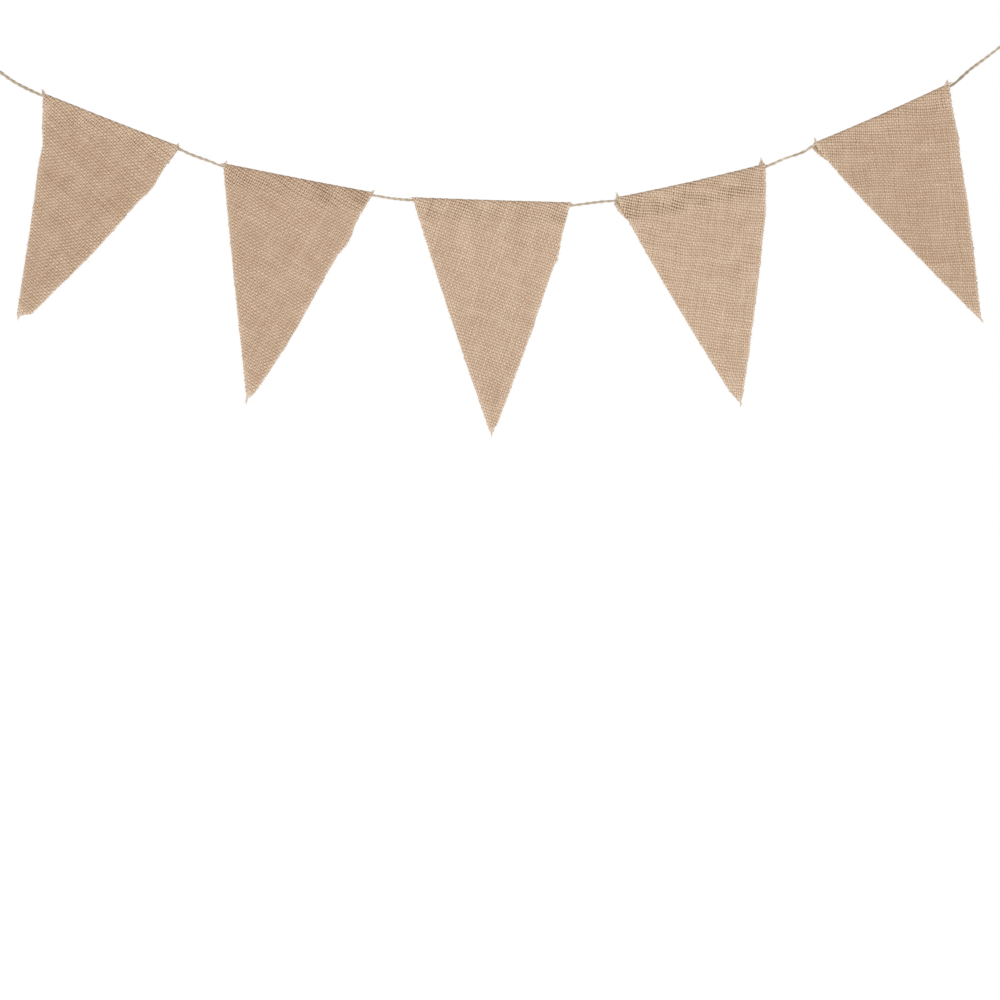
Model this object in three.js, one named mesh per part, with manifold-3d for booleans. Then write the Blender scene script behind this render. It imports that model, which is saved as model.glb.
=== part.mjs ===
// Fabric bunting: five pennants of coarse jute cloth on one twine, with a tied loop at each end.
// Millimetres, +Z up. X runs along the garland from the left loop to the right one, and the
// front faces -Y. The origin is the crown of the left loop, where the garland hangs.
import * as THREE from 'three';
import { mergeVertices } from 'three/addons/utils/BufferGeometryUtils.js';
import Module from 'manifold-3d';

// Driving dimensions
const clothThickness = 1.2;
const twineDiameter = 2.3;
const seatGap = 0.42; // between the twine and the fold that hangs on it
const layerGap = 0.3; // between a pennant's front and the hem turned behind it
const hemCloses = 9; // distance below the twine at which the hem lies against the front
const loopLength = 24; // from the middle of a knot to the crown of its loop
const loopRadius = 6.5; // of the loop's round crown
const knotLength = 10;
const knotRadius = 3.9;
const bulgePlace = 0.23; // of a pennant's height, where a side bulges below the hem
const bulgeReach = 0.06; // of the height, from the bulge's middle to where it fades

// Facets
const columns = 8; // across a pennant
const foldFacets = 6; // round the fold, front to back
const frontRows = 11; // from the hem's level down to the tip
const twineSides = 8;
const twineSteps = 80; // along the garland
const loopSteps = 14;
const knotSides = 12;

const foldRadius = twineDiameter / 2 + seatGap + clothThickness / 2; // to the middle of the cloth
const foldTop = foldRadius + clothThickness / 2; // from the twine's middle up to the visible edge
const quarterFold = foldRadius * Math.PI / 2;
const restOffset = (clothThickness + layerGap) / 2; // of each layer from the plane between them

// Each pennant in its own frame. x and z place the left end of its fold on the twine's middle, and
// tilt is the slope of the fold in degrees, from end to end, with its middle hanging lower by sag.
// Sizes run along the fold and square to it from its top. The pairs are for the left and right
// sides: where the side ends at the tip, its bow (positive to the right), the skew of that bow (its
// fullest place is higher as the skew falls), its bulge below the hem (positive to the right), and
// how far the hem's edge stands out past the front's. lean, cup and twist are depths of the uneven
// cloth: at the tip, at the two sides, and between one side and the other.
const pennants = [
  { name: 'pennant_1', x: 74.9, z: -47.2, tilt: -21.4, width: 130, height: 193, hem: 18, sag: 0.4,
    tip: [51.8, 63.5], bow: [2.8, 4.9], skew: [0.54, 0.7], bulge: [2.2, 2.4], hemOut: [1, 0],
    lean: -4.5, cup: 2.4, twist: -1.6 },
  { name: 'pennant_2', x: 236.4, z: -110.2, tilt: -11, width: 136, height: 200.5, hem: 19, sag: 0.3,
    tip: [59.6, 63.6], bow: [-0.5, 3.3], skew: [0.5, 1.9], bulge: [0, 3.2], hemOut: [0, 0],
    lean: 3, cup: -2, twist: 1.2 },
  { name: 'pennant_3', x: 405.7, z: -140.6, tilt: -1.85, width: 140, height: 209, hem: 20, sag: 0.2,
    tip: [76.1, 78.4], bow: [-1.6, 3.8], skew: [0.77, 0.81], bulge: [0, 2.1], hemOut: [0, 0],
    lean: -2.5, cup: 1.8, twist: 1 },
  { name: 'pennant_4', x: 587.4, z: -140.6, tilt: 12.8, width: 135.5, height: 202, hem: 22.5, sag: 1.1,
    tip: [64.7, 69.2], bow: [-1.9, 4.9], skew: [0.76, 0.65], bulge: [0, 1.1], hemOut: [4.2, 0],
    lean: 3.5, cup: 2.2, twist: -1.2 },
  { name: 'pennant_5', x: 764.5, z: -91.6, tilt: 23.8, width: 131, height: 202, hem: 18.4, sag: 0.9,
    tip: [70.3, 71.9], bow: [-3.9, 2.1], skew: [0.64, 1.3], bulge: [0, 1.3], hemOut: [3.3, 0],
    lean: -3.5, cup: -2.2, twist: 1.5 },
];

// The twine's middle in the free stretches, as x and z, from the left knot to the right one
const freeStretches = [
  [[19.7, -13.8], [37.5, -26.3], [47, -33.2], [57, -39]],
  [[206, -99.2], [226, -106.6]],
  [[388, -139.3]],
  [[557, -144.2], [575, -141.9]],
  [[736, -104.1], [754, -97.6]],
  [[903, -23.8], [916, -14.2], [929.2, -4], [945.7, 10]],
];
const leadIn = 3; // the twine meets a fold from this far outside its end
const foldGuide = 6; // and runs along it from this far inside
const pullAngle = { left: 145, right: 39.7 }; // of each loop, in degrees up from +X

const jute = new THREE.MeshStandardMaterial({ color: 0xc5aa92, roughness: 0.95, metalness: 0 });
const juteTwine = new THREE.MeshStandardMaterial({ color: 0xb39b79, roughness: 0.9, metalness: 0 });

const wasm = await Module();
wasm.setup();

function toSolid(geometry) {
  geometry.deleteAttribute('normal');
  geometry.deleteAttribute('uv');
  const merged = mergeVertices(geometry, 1e-4);
  return new wasm.Manifold(new wasm.Mesh({
    numProp: 3,
    vertProperties: new Float32Array(merged.attributes.position.array),
    triVerts: new Uint32Array(merged.index.array),
  }));
}

function toGeometry(solid) {
  const mesh = solid.getMesh();
  const geometry = new THREE.BufferGeometry();
  geometry.setAttribute('position', new THREE.BufferAttribute(mesh.vertProperties, 3));
  geometry.setIndex(new THREE.BufferAttribute(mesh.triVerts, 1));
  return geometry;
}

// Where the cloth's middle runs in the plane square to the fold. s is the distance along the cloth
// from the fold's top, down the front where it is positive and down the hem where it is negative.
function section(s) {
  const side = Math.sign(s);
  const below = Math.abs(s) - quarterFold;
  if (below <= 0) {
    const turn = s / foldRadius;
    return new THREE.Vector2(-foldRadius * Math.sin(turn), foldRadius * Math.cos(turn));
  }
  const closed = THREE.MathUtils.smoothstep(below, 0, hemCloses);
  return new THREE.Vector2(-side * THREE.MathUtils.lerp(foldRadius, restOffset, closed), -below);
}

function sectionNormal(s) {
  const reach = 0.05;
  const run = section(s + reach).sub(section(s - reach)).normalize();
  return new THREE.Vector2(-run.y, run.x);
}

function sideEdge(p, side, down) {
  const share = THREE.MathUtils.clamp((down + foldTop) / p.height, 0, 1);
  const straight = THREE.MathUtils.lerp(side * p.width, p.tip[side], share);
  const bow = p.bow[side] * Math.sin(Math.PI * share ** p.skew[side]);
  const bulge = p.bulge[side] * Math.exp(-(((share - bulgePlace) / bulgeReach) ** 2));
  return straight + bow + bulge;
}

// How much of hemOut the hem has, full just below the fold and none at the hem's cut edge
function flare(p, down) {
  const share = down / (p.hem - foldTop);
  return THREE.MathUtils.smoothstep(down, 0, hemCloses / 4) * (1 - share ** 3);
}

function sagAt(p, u) {
  const share = THREE.MathUtils.clamp(u / p.width, 0, 1);
  return 4 * p.sag * share * (1 - share);
}

function uneven(p, across, down) {
  const share = THREE.MathUtils.clamp(down / p.height, 0, 1);
  const outward = 2 * across - 1;
  const belly = Math.sin(Math.PI * share) ** 2;
  return p.lean * share ** 2 + p.cup * outward ** 2 * belly + p.twist * outward * belly;
}

// Distances along the cloth, from the hem's edge over the fold to the tip
function stations(p) {
  const hemDrop = p.hem - foldTop;
  const tipDrop = p.height - foldTop;
  const closing = [0.3, 0.6, 1].map((part) => part * hemCloses);
  const hemMiddle = (hemDrop + hemCloses) / 2;
  const hem = [hemDrop, hemMiddle, ...closing.toReversed()].map((drop) => -quarterFold - drop);
  const fold = Array.from({ length: foldFacets + 1 }, (_, i) => quarterFold * (2 * i / foldFacets - 1));
  const front = closing.map((drop) => quarterFold + drop);
  for (let i = 1; i <= frontRows; i++) {
    front.push(quarterFold + THREE.MathUtils.lerp(hemCloses, tipDrop, i / frontRows));
  }
  return [...hem, ...fold, ...front];
}

// A pennant is a flat blank, wrapped over the twine and cut to its sides
function pennantMesh(p) {
  const along = stations(p);
  const rows = along.length - 1;
  const blank = new THREE.BoxGeometry(1, rows, clothThickness, columns, rows, 1);
  const position = blank.attributes.position;
  for (let i = 0; i < position.count; i++) {
    const across = position.getX(i) + 0.5;
    const s = along[Math.round(position.getY(i) + rows / 2)];
    const middle = section(s);
    const down = Math.max(-middle.y, 0);
    const out = s < 0 ? flare(p, down) : 0;
    const left = sideEdge(p, 0, down) - out * p.hemOut[0];
    const right = sideEdge(p, 1, down) + out * p.hemOut[1];
    const face = middle.addScaledVector(sectionNormal(s), position.getZ(i));
    const depth = face.x + uneven(p, across, down);
    const u = THREE.MathUtils.lerp(left, right, across);
    position.setXYZ(i, u, depth, face.y - sagAt(p, u));
  }
  blank.deleteAttribute('normal');
  blank.deleteAttribute('uv');
  const mesh = new THREE.Mesh(mergeVertices(blank, 1e-4), jute);
  mesh.name = p.name;
  mesh.position.set(p.x, 0, p.z);
  mesh.rotation.y = -THREE.MathUtils.degToRad(p.tilt);
  return mesh;
}

function twineTube(points, steps) {
  const corners = Array.from({ length: twineSides }, (_, i) => {
    const angle = 2 * Math.PI * i / twineSides;
    return new THREE.Vector2(Math.cos(angle), Math.sin(angle)).multiplyScalar(twineDiameter / 2);
  });
  const path = new THREE.CatmullRomCurve3(points, false, 'centripetal');
  return toSolid(new THREE.ExtrudeGeometry(new THREE.Shape(corners), { steps, extrudePath: path }));
}

function garlandRoute() {
  const flat = ([x, z]) => new THREE.Vector3(x, 0, z);
  const route = freeStretches[0].map(flat);
  pennants.forEach((p, i) => {
    const slope = THREE.MathUtils.degToRad(p.tilt);
    for (const u of [-leadIn, foldGuide, p.width / 2, p.width - foldGuide, p.width + leadIn]) {
      const up = -sagAt(p, u);
      const x = p.x + u * Math.cos(slope) - up * Math.sin(slope);
      route.push(flat([x, p.z + u * Math.sin(slope) + up * Math.cos(slope)]));
    }
    route.push(...freeStretches[i + 1].map(flat));
  });
  return route;
}

// A loop of the twine in its own plane, out of the knot along +Y, round the crown and back
function loopSolid() {
  const centre = loopLength - loopRadius;
  const beside = twineDiameter / 2; // the two ends lie side by side in the knot
  const neck = knotLength * 0.3;
  const points = [[-beside, 0], [-beside, neck]];
  for (const degrees of [200, 170, 130, 90, 50, 10, -20]) {
    const turn = THREE.MathUtils.degToRad(degrees);
    points.push([loopRadius * Math.cos(turn), centre + loopRadius * Math.sin(turn)]);
  }
  points.push([beside, neck], [beside, 0]);
  return twineTube(points.map(([x, y]) => new THREE.Vector3(x, y, 0)), loopSteps);
}

// The knot's three rounds, as a turned form along +Y
function knotSolid() {
  const rounds = 3;
  const facets = 4; // on each round
  const groove = 0.72; // of the full radius, between two rounds
  const endTaper = 0.2; // how far into its swell the barrel starts and ends
  const profile = [new THREE.Vector2(0, -knotLength / 2)];
  for (let i = 0; i <= rounds * facets; i++) {
    const along = i / (rounds * facets);
    const round = Math.abs(Math.sin(Math.PI * rounds * along));
    const barrel = Math.sin(Math.PI * THREE.MathUtils.lerp(endTaper, 1 - endTaper, along));
    const radius = knotRadius * barrel * THREE.MathUtils.lerp(groove, 1, round);
    profile.push(new THREE.Vector2(radius, (along - 0.5) * knotLength));
  }
  profile.push(new THREE.Vector2(0, knotLength / 2));
  return toSolid(new THREE.LatheGeometry(profile, knotSides));
}

// The loop and its knot, turned from +Y to the way the twine is pulled
function hangingEnd([x, z], degrees) {
  const place = new THREE.Matrix4().makeTranslation(x, 0, z)
    .multiply(new THREE.Matrix4().makeRotationY(THREE.MathUtils.degToRad(90 - degrees)))
    .multiply(new THREE.Matrix4().makeRotationX(Math.PI / 2));
  return loopSolid().add(knotSolid()).transform(place.toArray());
}

function twineMesh() {
  const solid = twineTube(garlandRoute(), twineSteps)
    .add(hangingEnd(freeStretches[0][0], pullAngle.left))
    .add(hangingEnd(freeStretches.at(-1).at(-1), pullAngle.right));
  const mesh = new THREE.Mesh(toGeometry(solid), juteTwine);
  mesh.name = 'twine';
  return mesh;
}

const bunting = new THREE.Group();
bunting.add(twineMesh(), ...pennants.map(pennantMesh));

export default bunting;
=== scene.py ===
"""Fabric bunting: five pennants of plain-woven jute, folded over one twine with a loop at each end.

Metres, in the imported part's frame: X along the garland, the front facing -Y, Z up, and the origin at
the crown of the left loop. Every yarn of the cloth is a strand of its own, laid over and under.
"""
import math
from collections import namedtuple

import bpy
import numpy as np
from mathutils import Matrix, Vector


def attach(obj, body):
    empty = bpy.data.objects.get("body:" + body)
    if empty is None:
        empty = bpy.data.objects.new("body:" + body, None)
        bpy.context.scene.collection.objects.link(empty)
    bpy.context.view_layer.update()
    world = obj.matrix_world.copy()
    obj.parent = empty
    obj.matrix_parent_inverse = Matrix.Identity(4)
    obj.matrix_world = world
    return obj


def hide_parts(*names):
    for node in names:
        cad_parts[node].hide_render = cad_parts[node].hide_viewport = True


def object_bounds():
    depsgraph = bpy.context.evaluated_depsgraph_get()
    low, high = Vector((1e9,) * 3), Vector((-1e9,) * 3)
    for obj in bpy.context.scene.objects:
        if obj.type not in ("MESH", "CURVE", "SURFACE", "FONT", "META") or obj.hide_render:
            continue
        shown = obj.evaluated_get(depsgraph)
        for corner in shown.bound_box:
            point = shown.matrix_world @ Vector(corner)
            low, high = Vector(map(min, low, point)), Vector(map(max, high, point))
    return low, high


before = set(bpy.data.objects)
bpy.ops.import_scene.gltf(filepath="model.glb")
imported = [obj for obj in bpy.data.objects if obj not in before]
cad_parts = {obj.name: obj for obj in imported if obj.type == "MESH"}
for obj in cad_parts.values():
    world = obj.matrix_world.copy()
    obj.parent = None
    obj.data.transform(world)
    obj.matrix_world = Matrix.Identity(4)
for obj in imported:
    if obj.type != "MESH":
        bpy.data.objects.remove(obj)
cad_low, cad_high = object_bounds()

# Sizes that the part's source also has
CLOTH_THICK = 0.0012
TWINE_DIAMETER = 0.0023
SEAT_GAP = 0.00042  # between the twine and the cloth round it
LAYER_GAP = 0.0003  # between the cloth and its hem
HEM_CLOSES = 0.009  # length below the fold in which the cloth and its hem come together
LOOP_LENGTH = 0.024
LOOP_RADIUS = 0.0065
KNOT_LENGTH = 0.010
BULGE_PLACE = 0.23  # where a cut side bulges and how far that reaches, as shares of the height
BULGE_REACH = 0.06
LEAD_IN = 0.003  # from a fold's end to the twine's guide points outside and inside it
FOLD_GUIDE = 0.006
PULL_ANGLE = {"left": 145.0, "right": 39.7}  # the way that each loop is pulled, in degrees

FOLD_RADIUS = TWINE_DIAMETER / 2 + SEAT_GAP + CLOTH_THICK / 2  # at the cloth's middle
FOLD_TOP = FOLD_RADIUS + CLOTH_THICK / 2
QUARTER_FOLD = FOLD_RADIUS * math.pi / 2  # length of cloth in a quarter turn
REST_OFFSET = (CLOTH_THICK + LAYER_GAP) / 2  # from the plane between the closed layers to each one

LEFT_RIGHT = ((0, -1), (1, 1))  # of each side: its place in a pair of values, and the way outward

# A frayed end that stands up at a corner of the fold: its height, the width of its base, how far its
# peak is out past the fold's end, and its strands
Tuft = namedtuple("Tuft", "tall base out strands")

# Each pennant: its place and cut as in the part's source, then what only the yarns need. grain is the
# turn of warp and of weft from square to the fold, in degrees. tone is how pale the cloth is, and
# hem_light is painted light, how much paler it is where it is doubled. gap_shades is how dark the
# painted shade in its gaps is, single and doubled.
# crown_light is painted light: how much paler warp shows than weft where it lies on top, and the
# way that this slants across each yarn. tufts and fringe are the loose ends at the fold's left and right
# ends, and fringe is how far they reach out past it. point is where the tip ends. worn is the lines along
# which the right side of the tip is worn away: where each starts, level with the tip, and its slope. The
# left side is worn at the first of these slopes. wisp is the strand at the point: its length, and its
# lean to the right in degrees.
PENNANTS = [
    dict(name="pennant_1", x=0.0749, z=-0.0472, tilt=-21.4, width=0.130, height=0.193, hem=0.018,
         sag=0.0004, tip=(0.0518, 0.0635), bow=(0.0028, 0.0049), skew=(0.54, 0.7),
         bulge=(0.0022, 0.0024), hem_out=(0.0010, 0), lean=-0.0045, cup=0.0024, twist=-0.0016,
         grain=(21.5, 21.5), tone=-0.05, hem_light=0.14, gap_shades=(0.35, 0.7), crown_light=(-0.32, 1),
         fringe=(0.0010, 0.0006),
         tufts=(Tuft(0.0032, 0.0032, 0.0016, 17), Tuft(0.0030, 0.0024, -0.0004, 14)),
         point=0.0518, worn=((0.0530, 0.57), (0.0603, 2.25)), wisp=(0.0056, -6)),
    dict(name="pennant_2", x=0.2364, z=-0.1102, tilt=-11.0, width=0.136, height=0.2005, hem=0.019,
         sag=0.0003, tip=(0.0596, 0.0636), bow=(-0.0005, 0.0033), skew=(0.5, 1.9),
         bulge=(0, 0.0032), hem_out=(0, 0), lean=0.0030, cup=-0.0020, twist=0.0012,
         grain=(20.0, 20.0), tone=0.0, hem_light=0.01, gap_shades=(0.1, 1.0), crown_light=(-0.28, 1),
         fringe=(0.0032, 0.0010),
         tufts=(Tuft(0.0042, 0.0030, -0.0028, 8), Tuft(0.0036, 0.0018, 0.0008, 7)),
         point=0.0600, worn=((0.0622, 1.3),), wisp=(0.0060, -20)),
    dict(name="pennant_3", x=0.4057, z=-0.1406, tilt=-1.85, width=0.140, height=0.209, hem=0.020,
         sag=0.0002, tip=(0.0761, 0.0784), bow=(-0.0016, 0.0038), skew=(0.77, 0.81),
         bulge=(0, 0.0021), hem_out=(0, 0), lean=-0.0025, cup=0.0018, twist=0.0010,
         grain=(18.0, 18.0), tone=0.12, hem_light=0.0, gap_shades=(0, 0.8), crown_light=(0.2, 0),
         fringe=(0.0026, 0.0015),
         tufts=(Tuft(0.0008, 0.0020, 0.0010, 4), Tuft(0.0009, 0.0020, 0.0005, 5)),
         point=0.0764, worn=((0.0768, 2.1),), wisp=(0.0024, 0)),
    dict(name="pennant_4", x=0.5874, z=-0.1406, tilt=12.8, width=0.1355, height=0.202, hem=0.0225,
         sag=0.0011, tip=(0.0647, 0.0692), bow=(-0.0019, 0.0049), skew=(0.76, 0.65),
         bulge=(0, 0.0011), hem_out=(0.0042, 0), lean=0.0035, cup=0.0022, twist=-0.0012,
         grain=(20.5, 20.5), tone=0.12, hem_light=0.01, gap_shades=(0, 1.0), crown_light=(-0.18, -1),
         fringe=(0.0008, 0.0010),
         tufts=(Tuft(0.0046, 0.0034, -0.0008, 18), Tuft(0.0054, 0.0056, -0.0020, 38)),
         point=0.0672, worn=((0.0680, 1.9),), wisp=(0.0046, 16)),
    dict(name="pennant_5", x=0.7645, z=-0.0916, tilt=23.8, width=0.131, height=0.202, hem=0.0184,
         sag=0.0009, tip=(0.0703, 0.0719), bow=(-0.0039, 0.0021), skew=(0.64, 1.3),
         bulge=(0, 0.0013), hem_out=(0.0033, 0), lean=-0.0035, cup=-0.0022, twist=0.0015,
         grain=(17.5, 22.9), tone=-0.02, hem_light=0.07, gap_shades=(0, 0.6), crown_light=(-0.19, -1),
         fringe=(0.0012, 0.0030),
         tufts=(Tuft(0.0040, 0.0026, -0.0018, 24), Tuft(0.0040, 0.0050, 0.0004, 28)),
         point=0.0709, worn=((0.0716, 1.6),), wisp=(0.0048, 27)),
]

# The twine's middle in the free stretches, as x and z, from the left knot to the right one
FREE_STRETCHES = [
    [(0.0197, -0.0138), (0.0375, -0.0263), (0.0470, -0.0332), (0.0570, -0.0390)],
    [(0.2060, -0.0992), (0.2260, -0.1066)],
    [(0.3880, -0.1393)],
    [(0.5570, -0.1442), (0.5750, -0.1419)],
    [(0.7360, -0.1041), (0.7540, -0.0976)],
    [(0.9030, -0.0238), (0.9160, -0.0142), (0.9292, -0.0040), (0.9457, 0.0100)],
]

# The weave: warp runs along each pennant's right side, and weft crosses it
WARP_PITCH = 0.00190
WEFT_PITCH = 0.00250
WARP_HALF = 0.00079  # half the width of a warp yarn
WEFT_HALF = 0.00102
YARN_THICK = 0.00034  # half a yarn's thickness
CRIMP = 0.00031  # how far a yarn rises over and dips under the cloth's middle
YARN_SIDES = 5
FIBRE_LAY = 0.008  # length of one turn of the fibres in a yarn
CLOTH_CORE = 0.0001  # half the thickness of the felt sheet of fibres and painted shade between the yarns

# Fibres on the cut sides: the shortest, the longest, and half their thickness
SHORT_FIBRE = (0.0012, 0.0022, 0.00014)
LONG_FIBRE = (0.0018, 0.0045, 0.00006)

# A yarn's looks: tone from 0, dark, to 1, pale, and painted shade from 0, on top, to 1, deep in the weave
YARN_TONE = 0.51
FOLD_SHADE_TONE = -0.12  # painted shade along the fold
FRAYED_TONE = 0.40  # at a cut side
TIP_TONE = 0.25
# Painted shade in the gaps between yarns: in single cloth, with the hem's painted shadow behind, and the
# least along the fold's painted shade
GAP_SHADE = 0.7
DOUBLED_SHADE = 1.05
FOLD_SHADE_DEPTH = 0.4

# The photograph's frame, seen square on: the width of its 1000 pixels at the twine, and its middle as
# x and z
VIEW_WIDTH = 0.8917
VIEW_CENTRE = (0.4833, -0.4080)
LENS = 85.0
SENSOR = 36.0

TWINE_SEED = 11
PENNANT_SEED = 100


def ease(value):
    value = np.clip(value, 0, 1)
    return value * value * (3 - 2 * value)


def between(low, high, share):
    return low + (high - low) * share


def unit(vectors):
    return vectors / np.linalg.norm(vectors, axis=-1, keepdims=True)


# Camera

camera = bpy.data.objects.new("camera", bpy.data.cameras.new("camera"))
bpy.context.scene.collection.objects.link(camera)
camera.data.lens = LENS
camera.data.sensor_width = SENSOR
camera.location = (VIEW_CENTRE[0], -VIEW_WIDTH * LENS / SENSOR, VIEW_CENTRE[1])
camera.rotation_euler = (math.pi / 2, 0, 0)
bpy.context.scene.camera = camera


# Finishes

class Wire:
    """A socket's value in a sum: each operator adds the Math node that works it out."""

    def __init__(self, finish, socket):
        self.finish = finish
        self.socket = socket

    def maths(self, operation, first, second):
        return self.finish.add("Math", {"operation": operation}, {0: first, 1: second})

    def __add__(self, other):
        return self.maths("ADD", self, other)

    def __sub__(self, other):
        return self.maths("SUBTRACT", self, other)

    def __rsub__(self, other):
        return self.maths("SUBTRACT", other, self)

    def __mul__(self, other):
        return self.maths("MULTIPLY", self, other)

    __radd__ = __add__
    __rmul__ = __mul__


class Finish:
    """A material and its nodes."""

    def __init__(self, name):
        self.material = bpy.data.materials.new(name)
        self.material.use_nodes = True
        self.tree = self.material.node_tree
        self.tree.nodes.clear()

    def add(self, kind, settings=None, sockets=None, output=None):
        """Adds a node: its settings first, then its sockets by name or number. Gives an output."""
        node = self.tree.nodes.new("ShaderNode" + kind)
        for name, value in (settings or {}).items():
            setattr(node, name, value)
        inputs = [socket for socket in node.inputs if socket.enabled]
        for name, value in (sockets or {}).items():
            socket = next(s for i, s in enumerate(inputs) if name in (i, s.name))
            if isinstance(value, Wire):
                self.tree.links.new(value.socket, socket)
            else:
                socket.default_value = value
        outputs = [socket for socket in node.outputs if socket.enabled]
        return Wire(self, next((s for s in outputs if output in (None, s.name)), None))

    def attribute(self, name, output="Fac"):
        return self.add("Attribute", {"attribute_name": name}, output=output)

    def place(self):
        return self.add("TexCoord", output="Object")

    def noise(self, place, scale, detail):
        return self.add("TexNoise", None, {"Vector": place, "Scale": scale, "Detail": detail})

    def mix(self, factor, first, second):
        return self.add("Mix", {"data_type": "RGBA"}, {"Factor": factor, "A": first, "B": second})

    def surface(self, **sockets):
        named = {name.replace("_", " "): value for name, value in sockets.items()}
        shader = self.add("BsdfPrincipled", None, named)
        self.add("OutputMaterial", None, {"Surface": shader})
        return self.material


def opaque(red, green, blue):
    return (red, green, blue, 1.0)


def jute_finish(name, pale, dark, shade_colour, shade_share):
    """Spun jute: streaks of fibre along the strand, a tone for each, and painted shade deep in the weave.
    """
    finish = Finish(name)
    streak_contrast = 0.7
    blotch_contrast = 0.3
    streaks = finish.noise(finish.attribute("fibre", "Vector"), scale=1.0, detail=3.0)
    blotches = finish.noise(finish.place(), scale=45.0, detail=2.0)
    paleness = finish.attribute("tone") + (streaks - 0.5) * streak_contrast
    paleness = paleness + (blotches - 0.5) * blotch_contrast
    colour = finish.mix(paleness, dark, pale)
    # Painted shade, darker the deeper a point lies
    depth = finish.attribute("shade")
    colour = finish.mix(depth * depth * shade_share, colour, shade_colour)
    bump = finish.add("Bump", None, {"Strength": 0.5, "Distance": 0.0002, "Height": streaks})
    return finish.surface(Base_Color=colour, Roughness=0.95 - streaks * 0.2, Normal=bump,
                          Sheen_Weight=0.12, Sheen_Roughness=0.5, Specular_IOR_Level=0.25)


def felt_and_shade_finish():
    """Felted fibres and painted shade in the gaps between yarns, and the hem's painted shadow where it
    lies behind.
    """
    finish = Finish("jute_felt_and_shade")
    fibres = finish.noise(finish.place(), scale=900.0, detail=2.0)
    # Painted shade in the gaps: one copy for single cloth, a darker one with the hem's painted shadow
    # behind
    lit = finish.mix(fibres, opaque(0.31, 0.18, 0.098), opaque(0.41, 0.255, 0.15))
    dark = finish.mix(fibres, opaque(0.095, 0.05, 0.026), opaque(0.2, 0.11, 0.057))
    colour = finish.mix(finish.attribute("dark"), lit, dark)
    return finish.surface(Base_Color=colour, Roughness=0.95 - fibres * 0.1, Specular_IOR_Level=0.1)


def floor_finish():
    """A pale floor that also glows a little, as a lit studio table does."""
    finish = Finish("pale_floor")
    grain = finish.noise(finish.place(), scale=60.0, detail=3.0)
    colour = finish.mix(grain, opaque(0.89, 0.89, 0.89), opaque(0.91, 0.91, 0.91))
    return finish.surface(Base_Color=colour, Roughness=0.9, Emission_Color=opaque(1, 1, 1),
                          Emission_Strength=0.48)


# Each finish's third colour and its share are painted shade, deep in a weave or in a twine's groove
CLOTH_FINISH = jute_finish("jute_yarn", pale=opaque(0.69, 0.537, 0.405),
                           dark=opaque(0.385, 0.245, 0.145),
                           shade_colour=opaque(0.26, 0.145, 0.072), shade_share=0.7)
FRAY_FINISH = jute_finish("jute_fray", pale=opaque(0.75, 0.61, 0.49), dark=opaque(0.46, 0.355, 0.28),
                          shade_colour=opaque(0.30, 0.19, 0.115), shade_share=0.7)
TWINE_FINISH = jute_finish("jute_twine", pale=opaque(0.63, 0.515, 0.39), dark=opaque(0.30, 0.23, 0.16),
                           shade_colour=opaque(0.13, 0.092, 0.058), shade_share=0.8)
FELT_AND_SHADE_FINISH = felt_and_shade_finish()


# Strands

TINY = 1e-9

# A slanted cut: how many times its own depth it takes to straighten along the strand, and the most of a
# strand's length that its two cuts may take
CUT_EASE = 2.5
CUT_SHARE = 0.8

# The streaks of fibre, in units of their noise: to a metre along a strand, round it, and from one strand
# to the next
STREAKS_ALONG = 260.0
STREAKS_ROUND = 3.0
STREAKS_APART = 7.3

# The baking map: how long a strand's end point is beside its usual step, the room after a strand in such
# points, the fewest rows, and a row's bare margin
MAP_POINT = 0.7
MAP_ROOM = 2.5
MAP_LEAST_ROWS = 4
MAP_MARGIN = 0.07


def ring_angles(sides):
    """The corners of a strand's section, the first one at its crown."""
    return math.pi / 2 + 2 * math.pi * np.arange(sides) / sides


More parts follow.
